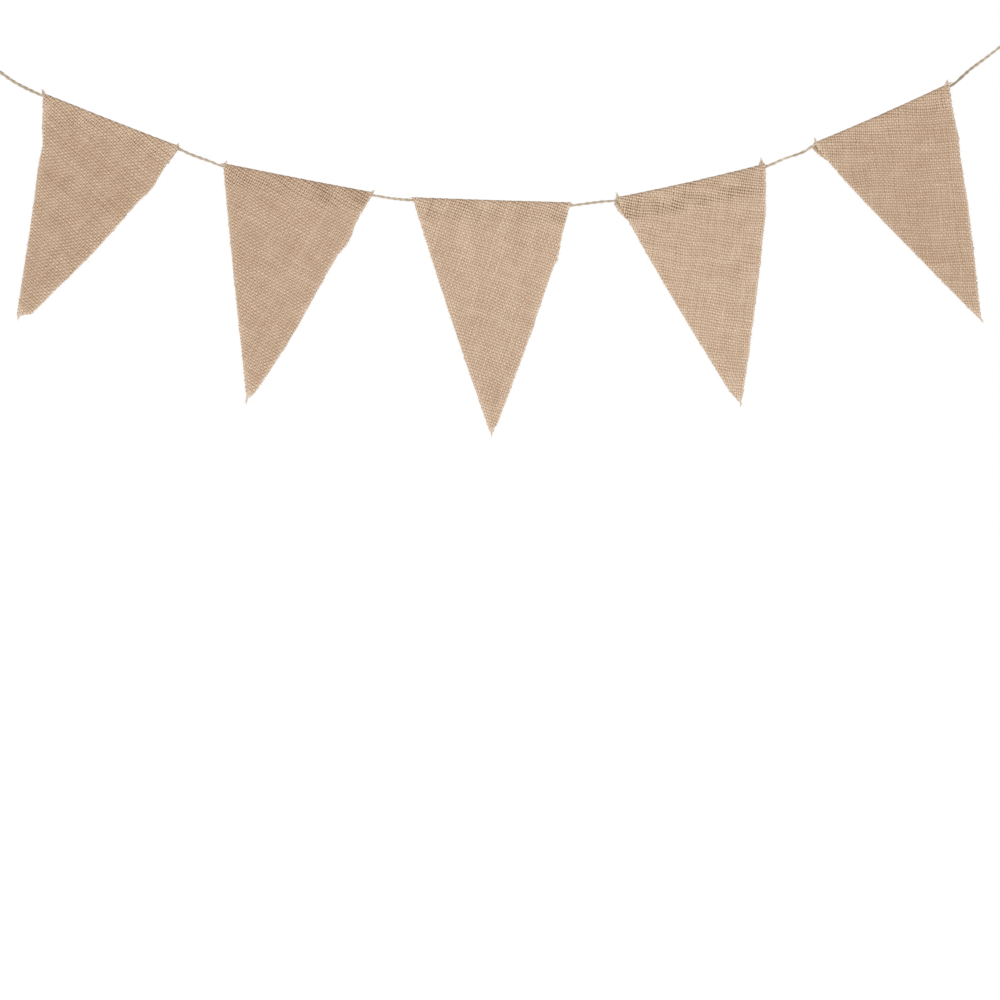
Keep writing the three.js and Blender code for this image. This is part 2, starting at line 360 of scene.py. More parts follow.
class Strands:
    """Joins many thin closed strands into one mesh. Each point has a tone, a painted shade (how deep it
    lies) and a fibre place for the streaks, and each strand has its own strip of the baking map."""

    def __init__(self):
        self.points, self.quads, self.tips = [], [], []
        self.quad_places, self.tip_places = [], []
        self.tones, self.shades, self.fibres = [], [], []
        self.count = 0
        self.strip_at = 0.0
        self.girth = 0.0

    def add(self, centres, ups, half_width, half_thick, tone, shade=0.0, sides=YARN_SIDES, relief=1.0,
            bevel=(0.0, 0.0)):
        """A strand along centres, its thickness towards ups, closed by a low point at both ends.
        bevel is the slope of each end's cut across the strand's width, eased in along the strand."""
        centres = np.asarray(centres, float)
        rings = len(centres)
        length = np.concatenate([[0], np.cumsum(np.linalg.norm(np.diff(centres, axis=0), axis=1))])
        run = unit(np.gradient(centres, axis=0))
        up = unit(ups - np.sum(ups * run, axis=1, keepdims=True) * run)
        side = np.cross(up, run)
        angle = ring_angles(sides)
        wide = np.broadcast_to(half_width, rings)[:, None] * np.cos(angle) * relief
        thick = np.broadcast_to(half_thick, rings)[:, None] * np.sin(angle) * relief
        ring_points = centres[:, None] + wide[..., None] * side[:, None]
        ring_points += thick[..., None] * up[:, None]
        half = np.max(half_width)
        narrowed = abs(bevel[1] - bevel[0]) * half
        kept = min(1.0, CUT_SHARE * length[-1] / max(narrowed, TINY))
        for slope, from_end in zip(bevel, (length, length[-1] - length)):
            eased = np.clip(1 - from_end / max(CUT_EASE * abs(slope) * half, TINY), 0, 1)
            ring_points += (kept * slope * eased[:, None] * wide)[..., None] * run[:, None]
        ends = centres[[0, -1]] + run[[0, -1]] * np.array([[-1.0], [1.0]]) * np.mean(half_thick)
        self.points.append(np.vstack([ring_points.reshape(-1, 3), ends]))
        self._faces(rings, sides)
        self._paint(length, angle, tone, shade, rings, sides)
        self._strip(length, sides)
        self.girth = max(self.girth, 4 * float(np.mean(half_width)))  # as of a flat strand
        self.count += rings * sides + 2

    def _faces(self, rings, sides):
        """Quads from ring to ring, and triangles to the point at each end."""
        first = self.count + np.arange(rings - 1)[:, None] * sides
        k = np.arange(sides)
        after = (k + 1) % sides
        quads = np.stack([first + k, first + after, first + sides + after, first + sides + k], -1)
        self.quads.append(quads.reshape(-1, 4))
        last = self.count + (rings - 1) * sides
        start_tip = np.full(sides, self.count + rings * sides)
        starts = np.stack([self.count + after, self.count + k, start_tip], -1)
        stops = np.stack([last + k, last + after, start_tip + 1], -1)
        self.tips.append(np.vstack([starts, stops]))

    def _paint(self, length, angle, tone, shade, rings, sides):
        """Every point's tone, shade and fibre place, with the two end points last."""
        tone = np.broadcast_to(tone, (rings, sides))
        shade = np.broadcast_to(shade, (rings, sides))
        strand_number = len(self.points)
        wound = angle + length[:, None] * 2 * math.pi / FIBRE_LAY
        fibre = np.zeros((rings, sides, 3))
        fibre[..., 0] = length[:, None] * STREAKS_ALONG
        fibre[..., 1] = np.cos(wound) * STREAKS_ROUND + strand_number * STREAKS_APART
        fibre[..., 2] = np.sin(wound) * STREAKS_ROUND
        painted = ((self.tones, tone, 1), (self.shades, shade, 1), (self.fibres, fibre, 3))
        for store, values, width in painted:
            flat = np.asarray(values, float).reshape(rings * sides, width)
            store.append(np.vstack([flat, flat[[0]], flat[[-1]]]))

    def _strip(self, length, sides):
        """The strand's place on one long strip, which finish_map() later cuts into rows."""
        along = self.strip_at + length
        k = np.arange(sides)
        quads = np.zeros((len(length) - 1, sides, 4, 2))
        quads[..., 0] = along[:-1, None, None]
        quads[..., 2:, 0] = along[1:, None, None]
        quads[..., 1] = np.stack([k, k + 1, k + 1, k], -1) / sides
        self.quad_places.append(quads.reshape(-1, 4, 2))
        tip = np.mean(np.diff(length)) * MAP_POINT
        tips = np.zeros((2, sides, 3, 2))
        tips[0, :, :, 0] = along[0] - np.array([0, 0, tip])
        tips[1, :, :, 0] = along[-1] + np.array([0, 0, tip])
        tips[0, :, :, 1] = np.stack([k + 1, k, k + 0.5], -1) / sides
        tips[1, :, :, 1] = np.stack([k, k + 1, k + 0.5], -1) / sides
        self.tip_places.append(tips.reshape(-1, 3, 2))
        self.strip_at = along[-1] + MAP_ROOM * tip

    def finish_map(self):
        """Cuts the long strip into rows that fill the square, keeping each face whole."""
        rows = max(MAP_LEAST_ROWS, round(math.sqrt(self.strip_at / self.girth)))
        row_length = self.strip_at / (rows - 1)
        row_room = 1.02 * row_length + 0.0015  # the last face of a row runs a little past its end
        placed = []
        for faces in (np.concatenate(self.quad_places), np.concatenate(self.tip_places)):
            row = np.floor(faces[:, :, 0].min(1) / row_length)
            u = (faces[..., 0] - row[:, None] * row_length) / row_room
            v = (row[:, None] + MAP_MARGIN + (1 - 2 * MAP_MARGIN) * faces[..., 1]) / rows
            placed.append(np.stack([np.clip(u, 0, 1), np.clip(v, 0, 1)], -1).reshape(-1, 2))
        return np.concatenate(placed)

    def build(self, name, material):
        """Makes the piece, with the values that its finish reads at each point."""
        points = np.concatenate(self.points)
        quads = np.concatenate(self.quads)
        tips = np.concatenate(self.tips)
        corners = np.concatenate([quads.ravel(), tips.ravel()])
        totals = np.concatenate([np.full(len(quads), 4), np.full(len(tips), 3)])
        mesh = bpy.data.meshes.new(name)
        mesh.vertices.add(len(points))
        mesh.vertices.foreach_set("co", points.astype(np.float32).ravel())
        mesh.loops.add(len(corners))
        mesh.loops.foreach_set("vertex_index", corners.astype(np.int32))
        mesh.polygons.add(len(totals))
        mesh.polygons.foreach_set("loop_start", (np.cumsum(totals) - totals).astype(np.int32))
        mesh.polygons.foreach_set("loop_total", totals.astype(np.int32))
        mesh.polygons.foreach_set("use_smooth", np.ones(len(totals), bool))
        for attribute, store in (("tone", self.tones), ("shade", self.shades)):
            values = np.concatenate(store).astype(np.float32).ravel()
            mesh.attributes.new(attribute, "FLOAT", "POINT").data.foreach_set("value", values)
        fibres = np.concatenate(self.fibres).astype(np.float32).ravel()
        mesh.attributes.new("fibre", "FLOAT_VECTOR", "POINT").data.foreach_set("vector", fibres)
        places = self.finish_map().astype(np.float32).ravel()
        mesh.uv_layers.new(name="OFBake").uv.foreach_set("vector", places)
        mesh.update()
        mesh.materials.append(material)
        piece = bpy.data.objects.new(name, mesh)
        bpy.context.scene.collection.objects.link(piece)
        return piece


def wander(rng, places, spacing, size):
    """A smooth uneven value at places along a strand, changing about every spacing."""
    since = (places - places[0]) / spacing
    knots = np.arange(since[-1] + 2)
    return np.interp(since, knots, rng.normal(0, size, len(knots)))


class Waves:
    """A slow uneven value over the flat cloth, from a few long waves that cross."""

    def __init__(self, rng, size, shortest, longest):
        count = 5
        turn = rng.uniform(0, 2 * math.pi, count)
        length = rng.uniform(shortest, longest, count)
        self.ways = 2 * math.pi / length * np.stack([np.cos(turn), np.sin(turn)])
        self.starts = rng.uniform(0, 2 * math.pi, count)
        self.size = size / math.sqrt(count / 2)

    def at(self, flat):
        return self.size * np.sin(flat @ self.ways + self.starts).sum(-1)


def loose_fibre(strands, rng, root, way, length, thick, tone, bend=0.5, sides=3):
    """A fibre or frayed end from root that curls away from its first direction and thins out."""
    steps = 5
    curl_share = 0.6  # how far the end lies aside, beside the fibre's length
    taper = 0.65
    askew = (0.31, 0.83, 0.47)  # a way that no fibre happens to take
    way = unit(np.asarray(way, float))
    curl = rng.normal(0, bend, 3)
    share = np.linspace(0, 1, steps)[:, None]
    centres = np.asarray(root) + length * (way * share + curl * share ** 2 * curl_share)
    ups = np.tile(np.cross(way, askew), (steps, 1))
    thin = thick * (1 - taper * share[:, 0])
    strands.add(centres, ups, thin, thin, tone, sides=sides)


# Twine

def smooth_route(points, spacing):
    """A centripetal curve through the points, as points about spacing apart."""
    steps = 40  # from one point to the next, before they are evened out
    points = np.asarray(points, float)
    points = np.vstack([2 * points[0] - points[1], points, 2 * points[-1] - points[-2]])
    dense = []
    for a, b, c, d in zip(points, points[1:], points[2:], points[3:]):
        knots = np.cumsum([0, *(np.linalg.norm(q - p) ** 0.5 for p, q in ((a, b), (b, c), (c, d)))])
        t = np.linspace(knots[1], knots[2], steps, endpoint=False)[:, None]

        def blend(p, q, low, high):
            share = (t - knots[low]) / (knots[high] - knots[low])
            return between(p, q, share)

        first, middle, last = blend(a, b, 0, 1), blend(b, c, 1, 2), blend(c, d, 2, 3)
        dense.append(blend(blend(first, middle, 0, 2), blend(middle, last, 1, 3), 1, 2))
    dense = np.vstack([*dense, points[-2:-1]])
    return even_steps(dense, spacing)


def even_steps(dense, spacing):
    """The same line, as points about spacing apart."""
    length = np.concatenate([[0], np.cumsum(np.linalg.norm(np.diff(dense, axis=0), axis=1))])
    places = np.linspace(0, length[-1], int(length[-1] / spacing) + 1)
    return np.stack([np.interp(places, length, dense[:, i]) for i in range(3)], 1)


def pull_axes(side):
    """The way a loop is pulled, and square to it in the garland's plane."""
    turn = math.radians(PULL_ANGLE[side])
    out = np.array([math.cos(turn), 0, math.sin(turn)])
    return out, np.array([-out[2], 0, out[0]])


def loop_points(knot, side):
    """The hanging loop's middle, out of the knot, round the crown and back to the knot."""
    out, aside = pull_axes(side)
    centre = LOOP_LENGTH - LOOP_RADIUS
    beside = TWINE_DIAMETER / 2
    neck = KNOT_LENGTH * 0.3
    flat = [(beside, 0.0), (beside, neck)]
    for turn in np.radians([-20, 10, 50, 90, 130, 170, 200]):
        flat.append((LOOP_RADIUS * math.cos(turn), centre + LOOP_RADIUS * math.sin(turn)))
    flat += [(-beside, neck), (-beside, 0.0)]
    return [knot + a * aside + b * out for a, b in flat]


def sag_at(p, u):
    """How far the fold hangs below the straight line between its ends."""
    share = np.clip(u / p["width"], 0, 1)
    return 4 * p["sag"] * share * (1 - share)


def on_fold(p, u, up):
    """x and z of a place u along the fold and up from the straight line between its ends."""
    slope = math.radians(p["tilt"])
    x = p["x"] + u * math.cos(slope) - up * math.sin(slope)
    return x, p["z"] + u * math.sin(slope) + up * math.cos(slope)


def garland_points():
    """The twine's middle from knot to knot, through the five folds."""
    route = list(FREE_STRETCHES[0])
    for p, stretch in zip(PENNANTS, FREE_STRETCHES[1:]):
        width = p["width"]
        for u in (-LEAD_IN, FOLD_GUIDE, width / 2, width - FOLD_GUIDE, width + LEAD_IN):
            route.append(on_fold(p, u, -sag_at(p, u)))
        route += stretch
    return [np.array([x, 0, z]) for x, z in route]


def twist_strand(strands, rng, route, radius, tone, fullness=1.0):
    """Two soft plies twisted together, as one uneven strand along the route."""
    sides = 16
    lay = 0.014  # length of one full twist
    waist = 0.78  # of the radius, in the groove between the plies
    sharpness = 4  # with which the plies meet in the groove
    shade_falls = 1.5  # painted shade falls from the groove towards a ply's crown
    swell_limits = (0.78, 1.25)
    places = np.arange(len(route)) * np.linalg.norm(route[1] - route[0])
    swell = fullness + wander(rng, places, spacing=0.014, size=0.10)
    swell = swell + wander(rng, places, spacing=0.005, size=0.06)
    swell = np.clip(swell, *swell_limits)
    turn = 2 * math.pi * places / lay + wander(rng, places, spacing=0.02, size=1.1)
    lobe = np.abs(np.cos(ring_angles(sides)[None] - turn[:, None]))
    relief = (lobe ** sharpness + waist ** sharpness) ** (1 / sharpness)
    # Painted shade in the groove between the plies
    shade = np.clip(1 - shade_falls * lobe, 0, 1)
    tones = tone + wander(rng, places, spacing=0.012, size=0.20)
    ups = np.tile([0.0, -1.0, 0.0], (len(route), 1))
    strands.add(route, ups, radius * swell, radius * swell, tones[:, None], shade, sides, relief)


def make_twine(rng):
    """The twine, its two knots and its fuzz. The end stretches are darker, and the left one is fuller."""
    left_stops = 0.08  # shares of the garland's length
    right_starts = 0.88
    change = 0.04
    ends = {"left": FREE_STRETCHES[0][0], "right": FREE_STRETCHES[-1][-1]}
    knots = {side: np.array([x, 0, z]) for side, (x, z) in ends.items()}
    points = loop_points(knots["left"], "left")[:-1] + garland_points()
    points += loop_points(knots["right"], "right")[1:]
    route = smooth_route(points, spacing=0.0009)
    across = (route[:, 0] - route[:, 0].min()) / np.ptp(route[:, 0])
    left_end = 1 - ease((across - left_stops) / change)
    right_end = ease((across - right_starts) / change)
    tone = 0.45 - 0.12 * (left_end + right_end)
    fullness = 1.02 + 0.14 * left_end
    cord = Strands()
    twist_strand(cord, rng, route, TWINE_DIAMETER / 2, tone, fullness)
    twine = cord.build("jute_twine", TWINE_FINISH)
    on_twine = [make_knot(rng, side, knots[side]) for side in knots]
    on_twine.append(twine_fuzz(rng, route))
    for piece in (twine, *on_twine):
        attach(piece, "root")
    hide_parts("twine")
    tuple(route[0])


def make_knot(rng, side, knot):
    """The twine wound three times round its own two strands and drawn tight, with a cut end."""
    turns = 3
    radius = 0.0026  # at the middle turn, to the twine's middle
    rings = 75
    end_radius = 0.72  # of the radius, at the first and the last turn
    cut_length = 0.008
    cut_root = 0.001  # from the first turn
    cut_rings = 9
    cut_fibres = 26
    out, aside = pull_axes(side)
    forward = np.array([0, -1.0, 0])
    share = np.linspace(0, 1, rings)
    turn = 2 * math.pi * turns * share
    rise = (share - 0.5) * (KNOT_LENGTH - TWINE_DIAMETER)
    drawn_in = radius * between(end_radius, 1, np.sin(math.pi * share))
    around = np.cos(turn)[:, None] * aside + np.sin(turn)[:, None] * forward
    coil = knot + rise[:, None] * out + drawn_in[:, None] * around
    cut_way = -0.8 * out + 0.25 * forward + 0.5 * aside
    end = coil[0] + np.linspace(cut_length, cut_root, cut_rings)[:, None] * cut_way
    strands = Strands()
    route = even_steps(np.vstack([end, coil]), spacing=0.0006)
    twist_strand(strands, rng, route, TWINE_DIAMETER * 0.5, tone=0.42)
    for _ in range(cut_fibres):
        root = end[0] + rng.normal(0, 0.0004, 3)
        way = end[0] - end[3] + rng.normal(0, 0.0015, 3)
        length = rng.uniform(0.002, 0.005)
        loose_fibre(strands, rng, root, way, length, thick=0.00010, tone=rng.normal(0.5, 0.2))
    return strands.build("knot_" + side, TWINE_FINISH)


def twine_fuzz(rng, route):
    """Short hairs all along the twine."""
    hairs = 560
    clear = 5  # steps of the route without hairs at each end
    rooted = 0.4  # of the diameter, from the twine's middle
    fuzz = Strands()
    for place in rng.integers(clear, len(route) - clear, hairs):
        run = unit(route[place + 1] - route[place])
        out = rng.normal(0, 1, 3)
        out = unit(out - out @ run * run)
        root = route[place] + out * TWINE_DIAMETER * rooted
        way = out * rng.uniform(0.3, 1) + run * rng.choice([-1, 1]) * rng.uniform(0.5, 1.5)
        length = rng.uniform(0.0015, 0.0045)
        loose_fibre(fuzz, rng, root, way, length, thick=0.00007, tone=rng.normal(0.55, 0.2))
    return fuzz.build("twine_fuzz", TWINE_FINISH)


# Cloth

def section(s):
    """Depth and drop of the cloth's middle, s along it from the fold's top: front positive."""
    below = np.abs(s) - QUARTER_FOLD
    turn = s / FOLD_RADIUS
    leg = -np.sign(s) * between(FOLD_RADIUS, REST_OFFSET, ease(below / HEM_CLOSES))
    depth = np.where(below <= 0, -FOLD_RADIUS * np.sin(turn), leg)
    drop = np.where(below <= 0, -FOLD_RADIUS * np.cos(turn), below)
    return depth, drop


def side_edges(p, s):
    """Where the cut sides lie, from the fold's left end, at s along the cloth."""
    down = np.maximum(section(s)[1], 0)
    share = np.clip((down + FOLD_TOP) / p["height"], 0, 1)
    hem_share = np.clip(down / (p["hem"] - FOLD_TOP), 0, 1)
    flare = np.where(s < 0, ease(down / (HEM_CLOSES / 4)) * (1 - hem_share ** 3), 0)
    bulge = np.exp(-((share - BULGE_PLACE) / BULGE_REACH) ** 2)
    edges = []
    for side, outward in LEFT_RIGHT:
        straight = between(side * p["width"], p["tip"][side], share)
        bow = p["bow"][side] * np.sin(math.pi * share ** p["skew"][side])
        edges.append(straight + bow + bulge * p["bulge"][side] + outward * flare * p["hem_out"][side])
    return edges


def cloth_ends(p):
    """s at the hem's cut edge and at the tip."""
    return -(QUARTER_FOLD + p["hem"] - FOLD_TOP), QUARTER_FOLD + p["height"] - FOLD_TOP


def worn_edges(p, s):
    """The cut sides, drawn in beside the tip where the cloth is worn away."""
    left, right = side_edges(p, s)
    above = cloth_ends(p)[1] - s
    left = np.maximum(left, p["point"] - above / p["worn"][0][1])
    for place, slope in p["worn"]:
        right = np.minimum(right, place + above / slope)
    return left, right


def inside(p, u, s):
    """How far a place on the flat cloth is inside its edges."""
    left, right = worn_edges(p, s)
    hem_end, tip_end = cloth_ends(p)
    return np.minimum.reduce([u - left, right - u, s - hem_end, tip_end - s])


def cloth_point(p, u, s, lift):
    """The place in space of u along the fold and s along the cloth, lifted off its middle."""
    reach = 0.00005  # to both sides of s, to find the way that the cloth runs
    past_edge = 1.1  # of the way from the middle to a cut side
    depth, drop = section(s)
    depth_ahead, drop_ahead = section(s + reach)
    depth_behind, drop_behind = section(s - reach)
    run_depth, run_up = depth_ahead - depth_behind, drop_behind - drop_ahead
    size = np.hypot(run_depth, run_up)
    down = np.maximum(drop, 0)
    left, right = side_edges(p, s)
    outward = np.clip(2 * (u - left) / (right - left) - 1, -past_edge, past_edge)
    share = np.clip(down / p["height"], 0, 1)
    belly = np.sin(math.pi * share) ** 2
    uneven = p["lean"] * share ** 2 + (p["cup"] * outward ** 2 + p["twist"] * outward) * belly
    y = depth + lift * run_up / size + uneven
    x, z = on_fold(p, u, -drop - lift * run_depth / size - sag_at(p, u))
    return np.stack([x, y, z], -1)


# One set of yarns: the ways along and across it on the flat cloth, the distance from yarn to yarn and
# from crossing to crossing, half a yarn's width, 1 where it starts under the other set, and the hand of
# its sections against the way across
YarnSet = namedtuple("YarnSet", "along across pitch crossing half_width under hand")


def yarn_sets(p):
    """A pennant's warp and weft."""
    warp_turn, weft_turn = np.radians(p["grain"])
    warp = np.array([-math.sin(warp_turn), math.cos(warp_turn)])
    weft = np.array([math.cos(weft_turn), math.sin(weft_turn)])
    return (YarnSet(warp, weft, WARP_PITCH, WEFT_PITCH, WARP_HALF, under=0, hand=1),
            YarnSet(weft, warp, WEFT_PITCH, WARP_PITCH, WEFT_HALF, under=1, hand=-1))


def cut_slope(p, yarns, place):
    """How the cut runs where it meets a yarn: along the yarn for each step across it."""
    reach = 0.0003
    steepest = 2.5
    ways = np.stack([yarns.along, yarns.across]) * reach
    ahead, aside = [inside(p, *(place + way)) - inside(p, *(place - way)) for way in ways]
    slope = -aside / ahead if abs(ahead) > TINY else 0.0
    return float(np.clip(slope, -steepest, steepest))


def cut_lengths(p, yarns, flat, rng):
    """The stretches of one yarn that lie in the cut, as steps along it, and the slope of both ends.
    Each end is a little over or short of the edge, as shears and handling leave it."""
    long_end = 0.6  # steps past the edge
    long_share = 0.04  # of the ends are long
    room = inside(p, flat[:, 0], flat[:, 1])
    held = np.concatenate([[False], room > 0, [False]])
    starts = np.flatnonzero(held[1:] & ~held[:-1])
    stops = np.flatnonzero(held[:-1] & ~held[1:]) - 1
    for first, last in zip(starts, stops):
        if last == first or first == 0 or last == len(flat) - 1:
            continue
        before = room[first] / (room[first] - room[first - 1])
        after = room[last] / (room[last] - room[last + 1])
        spare = rng.normal(0.02, 0.12, 2) + long_end * (rng.random(2) < long_share)
        steps = [first - before - spare[0], *range(first, last + 1), last + after + spare[1]]
        slopes = [yarns.hand * cut_slope(p, yarns, flat[end]) for end in (first, last)]
        yield steps, slopes


def spin(rng, places, fullness, tone):
    """An uneven yarn: its width beside the usual one, and its tone, at places along it."""
    slub_share = 0.22  # of the yarns have one thick place
    slub_reach = 0.009
    slub_paler = 0.2
    width_limits = (0.68, 1.4)
    slub_size = rng.uniform(0.12, 0.35) * (rng.random() < slub_share)
    slub_middle = rng.uniform(places[0], places[-1])
    slub = slub_size * np.exp(-((places - slub_middle) / slub_reach) ** 2)
    width = 1 + fullness + slub + wander(rng, places, spacing=0.006, size=0.09)
    tone = tone + rng.normal(0, 0.04) + slub_paler * slub
    tone = tone + wander(rng, places, spacing=0.008, size=0.07)
    return np.clip(width, *width_limits), tone


def wear_and_shade(p, u, s):
    """How far places are doubled by the hem, in the fold's painted shade, frayed at a cut,
    and near the tip.
    """
    hem_ease = 0.001
    fold_shade_reach = 0.0009
    fold_shade_ease = 0.0018
    frayed_reach = 0.0022
    tip_reach = 0.012
    doubled = np.clip(inside(p, u, -s) / hem_ease, 0, 1)
    # Painted shade along the top of the fold
    fold_shade = 1 - ease((np.abs(s) - fold_shade_reach) / fold_shade_ease)
    frayed = np.exp(-np.maximum(inside(p, u, s), 0) / frayed_reach)
    near_tip = np.exp((s - cloth_ends(p)[1]) / tip_reach)
    return doubled, fold_shade, frayed, near_tip


def lay_row(p, strands, rng, yarns, row, places, flat, fullness):
    """One yarn, over and under by turns, in the stretches that the cut leaves of it."""
    off_cloth = 0.0002  # how far above a place the way up is taken
    thick_limits = (0.8, 1.15)
    turn = math.pi * (places / yarns.crossing + row + yarns.under)
    widths, tone = spin(rng, places, fullness, YARN_TONE + p["tone"])
    # Painted light on the crowns: how much paler warp tops show than weft tops, slanting across each yarn
    paler, slant = p["crown_light"]
    corner = ring_angles(YARN_SIDES)
    aside = slant * math.pi * yarns.half_width / yarns.pitch * np.cos(corner)
    count = np.arange(len(places))
    for steps, slopes in cut_lengths(p, yarns, flat, rng):
        u, s, width, tones, phase = [np.interp(steps, count, values) for values in
                                     (flat[:, 0], flat[:, 1], widths, tone, turn)]
        lift = CRIMP * np.cos(phase)
        thick = YARN_THICK * np.clip(np.sqrt(width), *thick_limits)
        centres = cloth_point(p, u, s, lift)
        ups = cloth_point(p, u, s, lift + off_cloth) - centres
        doubled, fold_shade, frayed, near_tip = wear_and_shade(p, u, s)
        height = lift[:, None] + thick[:, None] * np.sin(corner)
        # Painted shade: a yarn is darker where its side lies deep in the weave
        depth = np.clip(1 - np.abs(height) / (CRIMP + YARN_THICK), 0, 1)
        gap_shade = between(GAP_SHADE, DOUBLED_SHADE, p["gap_shades"][1] * doubled)
        shade = np.maximum(depth * gap_shade[:, None], FOLD_SHADE_DEPTH * fold_shade[:, None])
        # The fold's tone is painted shade; the paler cut sides and tip are fraying and wear
        tones = tones + FOLD_SHADE_TONE * fold_shade + FRAYED_TONE * frayed + TIP_TONE * near_tip
        # Painted light: yarns paler where the hem doubles the cloth
        tones = tones + p["hem_light"] * doubled
        # Painted light: each set's crowns paler or darker than the other's, the tone slanting across the
        # yarn
        crown_lit = paler * yarns.hand * np.cos(phase[:, None] + yarns.hand * aside)
        strands.add(centres, ups, yarns.half_width * width, thick, tones[:, None] + crown_lit, shade,
                    bevel=slopes)


def weave(p, rng):
    """Every yarn of a pennant, warp over weft and weft over warp by turns."""
    margin = 0.01  # laid past the cut sides
    spare = 4  # half crossings laid past the margin
    strands = Strands()
    hem_end, tip_end = cloth_ends(p)
    corners = np.array([(-margin, hem_end), (p["width"] + margin, hem_end), (p["tip"][0], tip_end),
                        (-margin, 0), (p["width"] + margin, 0)])
    sway = [Waves(rng, size=0.00045, shortest=0.02, longest=0.06) for _ in range(2)]
    fullness = Waves(rng, size=0.065, shortest=0.012, longest=0.04)
    for yarns in yarn_sets(p):
        spans = corners @ np.linalg.inv(np.stack([yarns.along, yarns.across]))
        crossings = spans[:, 0] / yarns.crossing
        rows = spans[:, 1] / yarns.pitch
        first = 2 * math.floor(crossings.min()) - spare
        places = np.arange(first, 2 * crossings.max() + spare + 1) * yarns.crossing / 2
        for row in np.arange(math.floor(rows.min()), rows.max() + 1):
            drift = row * yarns.pitch + rng.normal(0, 0.00012)
            drift = drift + wander(rng, places, spacing=0.02, size=0.00010)
            flat = places[:, None] * yarns.along + drift[:, None] * yarns.across
            flat += np.stack([waves.at(flat) for waves in sway], -1)
            lay_row(p, strands, rng, yarns, row, places, flat, fullness.at(flat))
    return strands


def sheet_quads(rows, columns):
    """The faces of a closed sheet: its front, its back, and the rim between them."""
    grid = np.arange(rows * columns).reshape(rows, columns)
    front = np.stack([grid[:-1, :-1], grid[1:, :-1], grid[1:, 1:], grid[:-1, 1:]], -1).reshape(-1, 4)
    behind = rows * columns
    rim = np.concatenate([grid[:-1, 0], grid[-1, :-1], grid[:0:-1, -1], grid[0, :0:-1]])
    rim_after = np.roll(rim, -1)
    rim_quads = np.stack([rim_after, rim, rim + behind, rim_after + behind], -1)
    return np.concatenate([front, front[:, ::-1] + behind, rim_quads])


def felt_and_shade_sheet(p):
    """The cloth's middle as a thin closed sheet, a little inside the cut, under the yarns: felted fibres
    and painted shade in the gaps between them.
    """
    inset = 0.0008
    tip_inset = 0.0048
    columns = 26
    hem_edge = 0.0003  # the hem's painted shadow in the gaps starts this far inside its outline
    hem_end, tip_end = cloth_ends(p)
    body = QUARTER_FOLD + HEM_CLOSES
    last = tip_end - tip_inset
    # The hem, the fold, the closing layers and the body: from, to, and rows
    bands = ((hem_end + inset, -QUARTER_FOLD, 10), (-QUARTER_FOLD, QUARTER_FOLD, 12),
             (QUARTER_FOLD, body, 7), (body, last, 39))
    s = np.concatenate([np.linspace(*band, endpoint=False) for band in bands] + [[last]])
    left, right = worn_edges(p, s)
    share = (1 - np.cos(np.linspace(0, math.pi, columns))) / 2
    u = between(left[:, None] + inset, right[:, None] - inset, share)
    s = np.repeat(s[:, None], columns, 1)
    faces = [cloth_point(p, u, s, lift).reshape(-1, 3) for lift in (CLOTH_CORE, -CLOTH_CORE)]
    quads = sheet_quads(*u.shape)
    mesh = bpy.data.meshes.new(p["name"] + "_felt")
    mesh.from_pydata(np.concatenate(faces), [], quads.tolist())
    mesh.polygons.foreach_set("use_smooth", np.ones(len(quads), bool))
    # Painted shade in the gaps, darker as the hem's painted shadow inside its outline
    dark = between(*p["gap_shades"], inside(p, u, -s) > hem_edge)
    dark = np.tile(dark.ravel(), 2).astype(np.float32)
    mesh.attributes.new("dark", "FLOAT", "POINT").data.foreach_set("value", dark)
    mesh.materials.append(FELT_AND_SHADE_FINISH)
    mesh.update()
    piece = bpy.data.objects.new(p["name"] + "_cloth", mesh)
    bpy.context.scene.collection.objects.link(piece)
    return piece


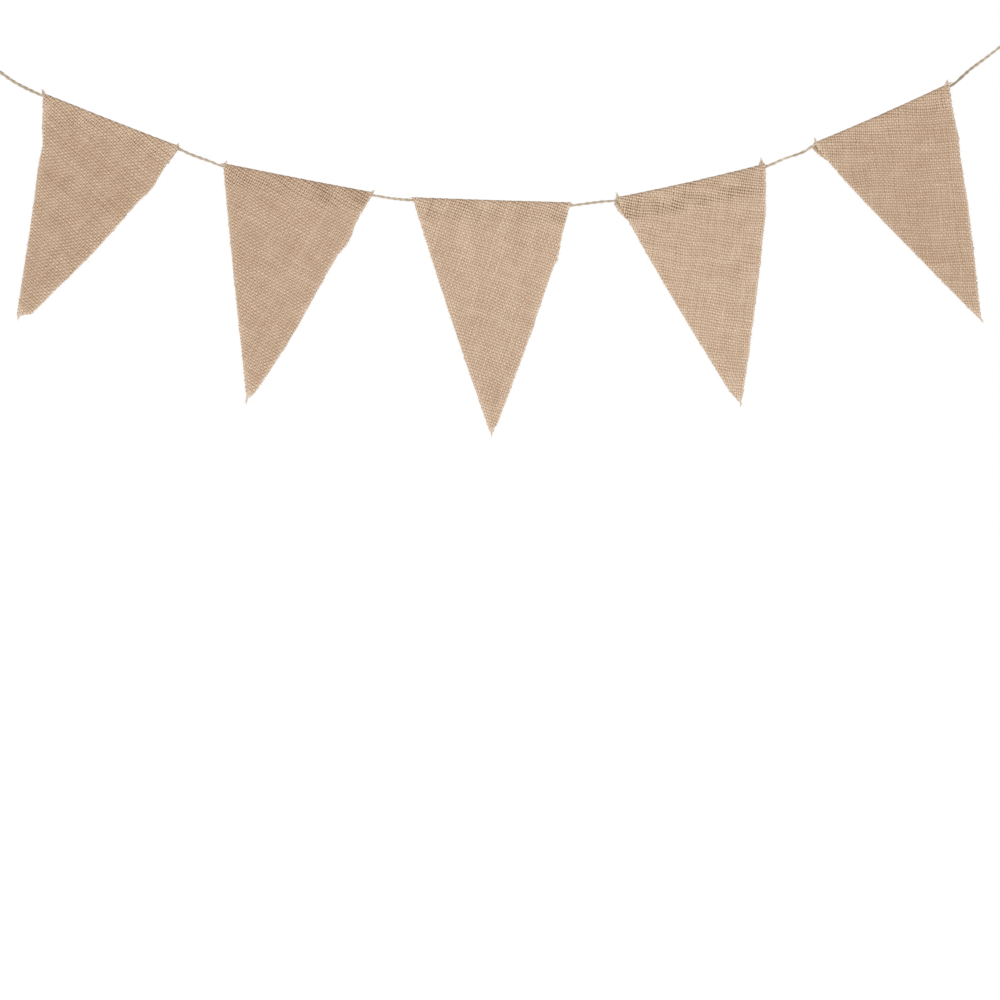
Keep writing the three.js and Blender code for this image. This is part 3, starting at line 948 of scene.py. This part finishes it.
def frays(p, rng):
    """Loose ends: tufts and fringes at the fold's ends, a wisp at the tip, fibres along the cut sides."""
    scatter = 0.0003  # how far a loose end strays
    fold_fringe = 10  # strands at each end of the fold
    wisp_strands = 14
    side_fibres = 620
    short_share = 0.7  # of the side fibres are short and stiff
    strands = Strands()
    slope = math.radians(p["tilt"])
    fold_run = np.array([math.cos(slope), 0, math.sin(slope)])
    up = np.array([-math.sin(slope), 0, math.cos(slope)])
    hem_end, tip_end = cloth_ends(p)

    def bundle(roots, reaches, tone):
        """Frayed yarn ends, each from its root as far as its reach."""
        for root, reach in zip(roots, reaches):
            thick = rng.uniform(0.0002, 0.00045)
            length = np.linalg.norm(reach)
            loose_fibre(strands, rng, root, reach, length, thick, rng.normal(tone, 0.15),
                        bend=0.1, sides=5)

    def drawn_to(peak, roots):
        """From each root part of the way, or a little past, to the bundle's peak."""
        return [(peak - root) * rng.uniform(0.45, 1.05) + rng.normal(0, scatter, 3) for root in roots]

    def fray_fold(side, outward):
        """A tuft that stands up at one end of the fold, and a fringe that reaches out past it."""
        end = side * p["width"]
        rooted = 0.001  # inside the fold's end
        tuft_reach = 0.002  # to both sides of the fold's top
        fringe_reach = 0.004
        tuft = p["tufts"][side]
        peak = cloth_point(p, end, 0.0, 0.0) + outward * tuft.out * fold_run + tuft.tall * up
        roots = []
        for _ in range(tuft.strands):
            u = end - outward * rng.uniform(0, tuft.base)
            roots.append(cloth_point(p, u, rng.uniform(-tuft_reach, tuft_reach), 0.0))
        bundle(roots, drawn_to(peak, roots), tone=0.7)
        places = rng.uniform(-fringe_reach, fringe_reach, fold_fringe)
        roots = [cloth_point(p, end - outward * rooted, s, 0.0) for s in places]
        reaches = [outward * fold_run * (rooted + p["fringe"][side] * rng.uniform(0.3, 1.0))
                   + rng.normal(0, scatter, 3) for _ in roots]
        bundle(roots, reaches, tone=0.55)

    def fray_tip():
        """The wisp that hangs from the point."""
        inward = 0.0006  # from the point's left side to the wisp's middle
        length, lean = p["wisp"]
        lean = math.radians(lean)
        middle = p["point"] + inward
        end = cloth_point(p, middle, tip_end, 0.0)
        end = end + length * np.array([math.sin(lean), 0, -math.cos(lean)])
        roots = [cloth_point(p, middle + rng.normal(0, 0.0006), tip_end - rng.uniform(0.003, 0.006), 0.0)
                 for _ in range(wisp_strands)]
        bundle(roots, drawn_to(end, roots), tone=0.65)

    def fray_side():
        """One fibre on a cut side: short and stiff, or long and fine."""
        tip_clear = 0.004
        rooted = 0.0005  # inside the cut
        s = rng.uniform(hem_end, tip_end - tip_clear)
        side, outward = LEFT_RIGHT[rng.integers(0, 2)]
        edge = worn_edges(p, s)[side]
        root = cloth_point(p, edge - outward * rooted, s, rng.normal(0, scatter))
        way = outward * fold_run * rng.uniform(0.3, 1) + rng.normal(0, 0.6, 3)
        shortest, longest, thick = SHORT_FIBRE if rng.random() < short_share else LONG_FIBRE
        length = rng.uniform(shortest, longest)
        loose_fibre(strands, rng, root, way, length, thick, rng.normal(0.6, 0.2))

    for side, outward in LEFT_RIGHT:
        fray_fold(side, outward)
    fray_tip()
    for _ in range(side_fibres):
        fray_side()
    return strands.build(p["name"] + "_frays", FRAY_FINISH)


def make_pennant(p, rng):
    """One pennant: its sheet of felt and painted shade, its yarns and frays. Its flat size and area are
    worked out but not used.
    """
    rows = 400  # in which its flat area is summed
    cloth = felt_and_shade_sheet(p)
    yarns = weave(p, rng).build(p["name"] + "_yarns", CLOTH_FINISH)
    loose = frays(p, rng)
    for piece in (cloth, yarns, loose):
        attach(piece, "root")
    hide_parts(p["name"])
    hem_end, tip_end = cloth_ends(p)
    s = np.linspace(hem_end, tip_end, rows)
    left, right = side_edges(p, s)
    area = float(np.sum(right - left) * (s[1] - s[0]))
    flat = (float(right.max() - left.min()), tip_end - hem_end)


# Stage

def make_floor():
    drop = 0.55  # below the lowest tip
    reach = 30.0
    level = cad_low[2] - drop
    corners = [(x * reach, y * reach, level) for x, y in ((-1, -1), (1, -1), (1, 1), (-1, 1))]
    mesh = bpy.data.meshes.new("floor")
    mesh.from_pydata(corners, [], [(0, 1, 2, 3)])
    mesh.materials.append(floor_finish())
    floor = bpy.data.objects.new("floor", mesh)
    bpy.context.scene.collection.objects.link(floor)


def make_lamp(name, place, aim, size, power):
    lamp = bpy.data.objects.new(name, bpy.data.lights.new(name, "AREA"))
    lamp.data.size = size
    lamp.data.energy = power
    lamp.location = place
    lamp.rotation_euler = (aim - lamp.location).to_track_quat("-Z", "Y").to_euler()
    bpy.context.scene.collection.objects.link(lamp)


def make_world():
    """White all round: full strength to the eye, softer as light on the cloth."""
    soft = 0.60
    full = 1.0
    world = bpy.data.worlds.new("studio")
    world.use_nodes = True
    bpy.context.scene.world = world
    nodes, links = world.node_tree.nodes, world.node_tree.links
    background = nodes["Background"]
    background.inputs["Color"].default_value = opaque(1, 1, 1)
    path = nodes.new("ShaderNodeLightPath")
    strength = nodes.new("ShaderNodeMapRange")
    strength.inputs["To Min"].default_value = soft
    strength.inputs["To Max"].default_value = full
    links.new(path.outputs["Is Camera Ray"], strength.inputs["Value"])
    links.new(strength.outputs["Result"], background.inputs["Strength"])


def make_stage():
    middle = (cad_low + cad_high) / 2
    make_floor()
    make_world()
    make_lamp("key", (middle.x - 0.7, -2.6, middle.z + 0.7), middle, size=1.6, power=26)
    make_lamp("fill", (middle.x + 1.2, -2.4, middle.z + 0.1), middle, size=1.8, power=8)
    make_lamp("back", (middle.x + 0.6, 2.6, middle.z + 0.8), middle, size=1.8, power=26)
    bpy.context.scene.view_settings.view_transform = "Standard"


make_twine(np.random.default_rng(TWINE_SEED))
for number, pennant in enumerate(PENNANTS):
    make_pennant(pennant, np.random.default_rng(PENNANT_SEED + number))
make_stage()
